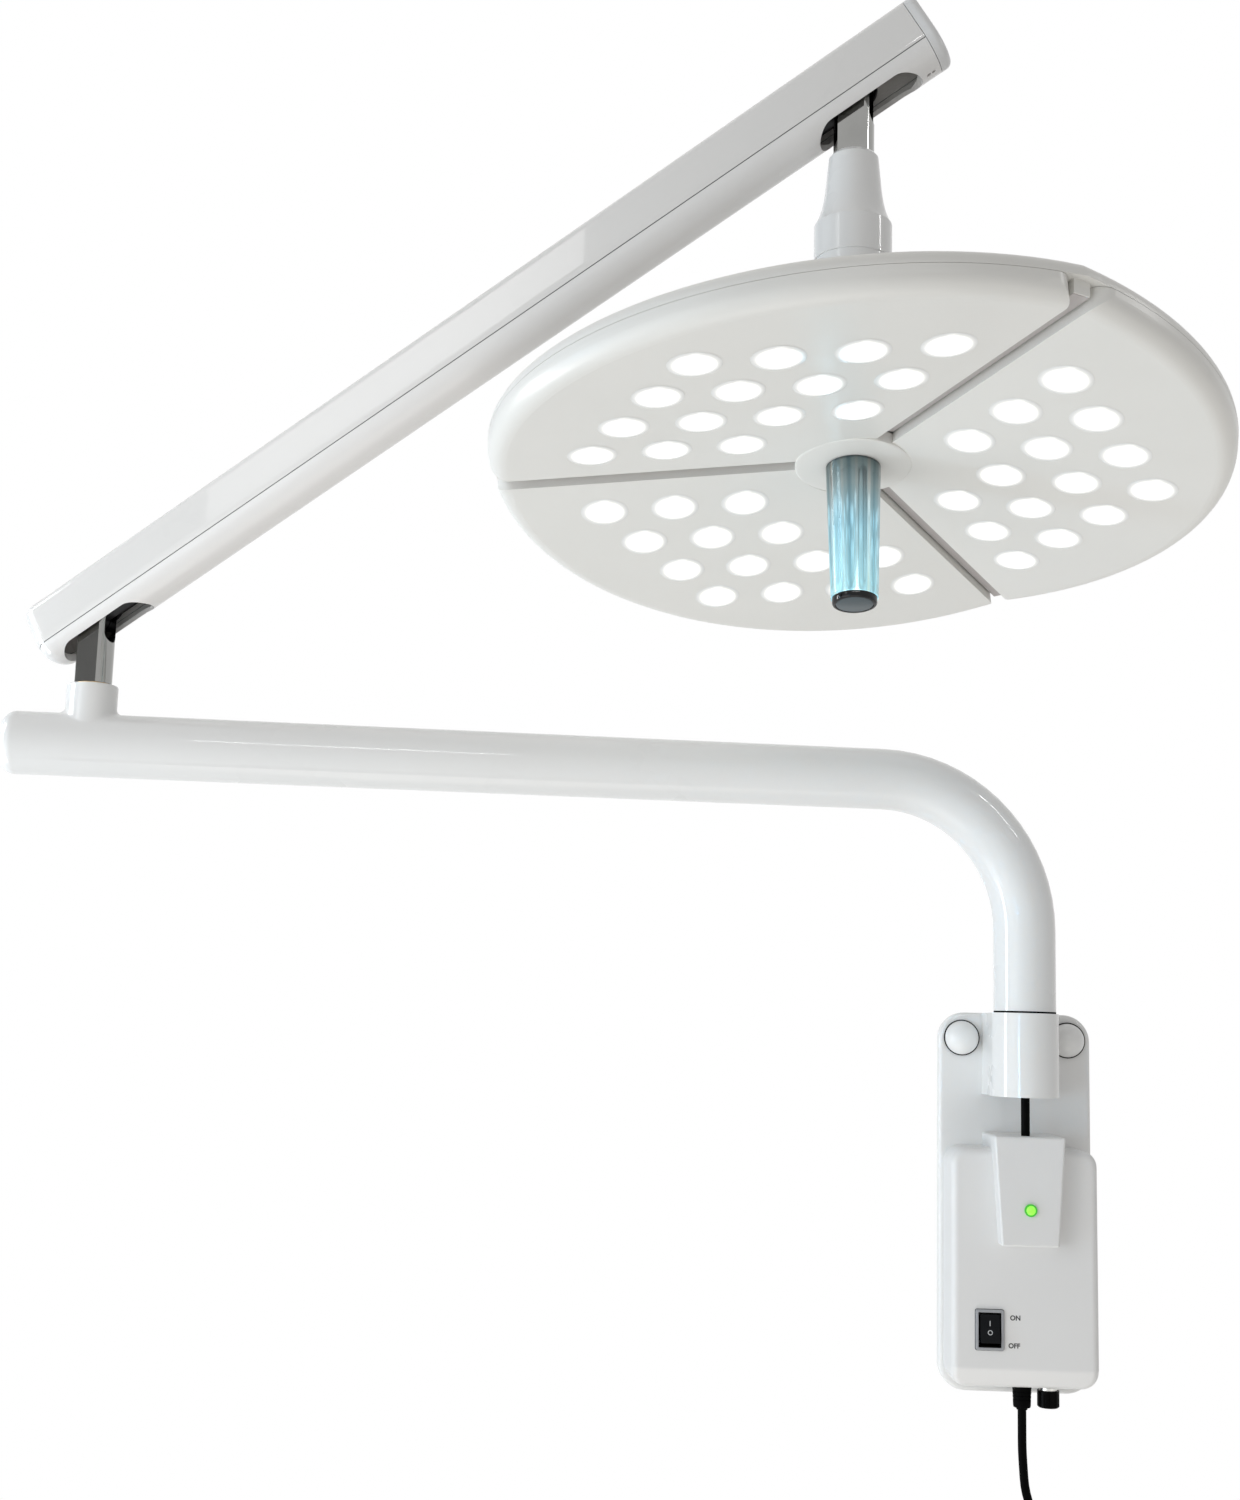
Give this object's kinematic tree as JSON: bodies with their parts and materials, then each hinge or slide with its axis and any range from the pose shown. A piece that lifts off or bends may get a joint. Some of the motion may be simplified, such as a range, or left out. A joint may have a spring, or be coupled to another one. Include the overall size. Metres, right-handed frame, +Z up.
{
  "type": "wall-mounted dental operating light",
  "caption": "Wall-mounted operating light with a swing arm, a balanced parallelogram arm and a three-lobed LED head that swivels, tilts and has a centre handle.",
  "frame": {"origin": "centre of the four wall bolts, on the wall", "axes": "+Y into the wall along the bolts, +Z up, +X to the right seen from the room"},
  "size_m": [0.8983, 0.6021, 1.2245],
  "materials": {
    "cream_enamel": "gloss enamel on steel",
    "white_housing": "smooth gloss moulding",
    "chrome_trim": "polished plate",
    "blue_chrome": "polished, blue tinted",
    "bright_steel": "turned and ground",
    "zinc_steel": "zinc plated",
    "spring_steel": "oil-tempered wire",
    "black_steel": "phosphated and oiled",
    "bronze_bush": "sintered bearing bronze",
    "grey_aluminium": "die cast, fine blasted",
    "black_plastic": "fine matt",
    "dark_grey_plastic": "fine matt",
    "mid_grey_plastic": "fine matt",
    "black_rubber": "extruded jacket",
    "green_lamp": "lit, clear green",
    "led_lens": "lit, moulded clear optic",
    "circuit_board": "white solder mask on aluminium"
  },
  "bodies": {
    "wall_unit": {"wall_plate": "cream_enamel", "swivel_block": "cream_enamel", "swivel_bushes": "bronze_bush", "thrust_washer": "black_plastic", "block_screws": "zinc_steel", "bolt_caps": "white_housing", "cap_rings": "black_plastic", "power_cover": "white_housing", "cover_screws": "zinc_steel", "lead_hood": "white_housing", "indicator_bezel": "green_lamp", "indicator_lens": "green_lamp", "lead_connector": "black_plastic", "arm_lead": "black_rubber", "switch_housing": "mid_grey_plastic", "led_driver": "grey_aluminium", "dimmer_body": "dark_grey_plastic", "dimmer_nut": "zinc_steel", "cord_gland": "black_rubber", "mains_cord": "black_rubber", "cord_coil": "black_rubber", "cord_tie": "black_plastic", "mains_plug": "black_plastic"},
    "switch_key": {"switch_rocker": "black_plastic"},
    "dimmer_control": {"brightness_knob": "dark_grey_plastic", "dimmer_shaft": "zinc_steel"},
    "swing_arm": {"swing_tube": "cream_enamel", "swing_spindle": "bright_steel", "spindle_clip": "spring_steel", "tube_end_cap": "white_housing", "post_bush": "bronze_bush"},
    "lower_post": {"lower_post": "chrome_trim", "lower_post_clip": "spring_steel", "lower_link_pins": "bright_steel"},
    "spring_arm": {"arm_beam": "black_steel", "arm_upper_shell": "cream_enamel", "arm_lower_shell": "cream_enamel", "arm_end_cap": "white_housing", "arm_cap_screws": "spring_steel", "spring_seat": "black_steel", "balance_spring": "spring_steel"},
    "tie_link": {"tie_rod": "black_steel"},
    "upper_post": {"upper_post": "chrome_trim", "upper_post_clip": "spring_steel", "upper_link_pins": "bright_steel"},
    "neck": {"neck_cover": "cream_enamel", "neck_yoke": "cream_enamel", "neck_bush": "bronze_bush", "tilt_pin": "bright_steel", "tilt_washers": "black_plastic"},
    "lamp_head": {"dish_housing": "white_housing", "front_panels": "white_housing", "lenses": "led_lens", "led_boards": "circuit_board", "hub_disc": "white_housing", "head_hub": "grey_aluminium", "handle_stem": "bright_steel", "handle_grip": "blue_chrome", "handle_end_cap": "dark_grey_plastic"}
  },
  "joints": [
    {"name": "arm_swivel", "type": "hinge", "parent": "wall_unit", "child": "swing_arm", "pos_m": [0, -0.056, 0.1], "axis": [0, 0, 1], "range_deg": [-5, 165]},
    {"name": "post_swivel", "type": "hinge", "parent": "swing_arm", "child": "lower_post", "pos_m": [-0.7535, -0.1552, 0.35], "axis": [0, 0, 1], "range_deg": [-150, 150]},
    {"name": "arm_tilt", "type": "hinge", "parent": "lower_post", "child": "spring_arm", "pos_m": [-0.7535, -0.1552, 0.44], "axis": [-0.3007, -0.9537, 0], "range_deg": [-65, 9.5], "deforming": ["balance_spring"]},
    {"name": "tie_pivot", "type": "hinge", "parent": "lower_post", "child": "tie_link", "pos_m": [-0.7535, -0.1552, 0.426], "axis": [-0.3007, -0.9537, 0], "range_deg": [-65.5, 10]},
    {"name": "upper_post_level", "type": "hinge", "parent": "spring_arm", "child": "upper_post", "pos_m": [-0.17286, -0.33827, 0.7915], "axis": [-0.3007, -0.9537, 0], "range_deg": [-10, 65.5]},
    {"name": "neck_swivel", "type": "hinge", "parent": "upper_post", "child": "neck", "pos_m": [-0.17286, -0.33827, 0.7115], "axis": [0, 0, 1], "range_deg": [-170, 170]},
    {"name": "head_tilt", "type": "hinge", "parent": "neck", "child": "lamp_head", "pos_m": [-0.17286, -0.33827, 0.5915], "axis": [1, 0, 0], "range_deg": [-50, 70]},
    {"name": "switch_rock", "type": "hinge", "parent": "wall_unit", "child": "switch_key", "pos_m": [-0.0286, -0.047, -0.1147], "axis": [1, 0, 0], "range_deg": [0, 16]},
    {"name": "dimmer_turn", "type": "hinge", "parent": "wall_unit", "child": "dimmer_control", "pos_m": [0.021, -0.035, -0.168], "axis": [0, 0, 1], "range_deg": [-150, 150]}
  ],
  "couplings": [
    {"joint": "tie_pivot", "follows": "arm_tilt", "ratio": 1},
    {"joint": "upper_post_level", "follows": "arm_tilt", "ratio": -1}
  ]
}
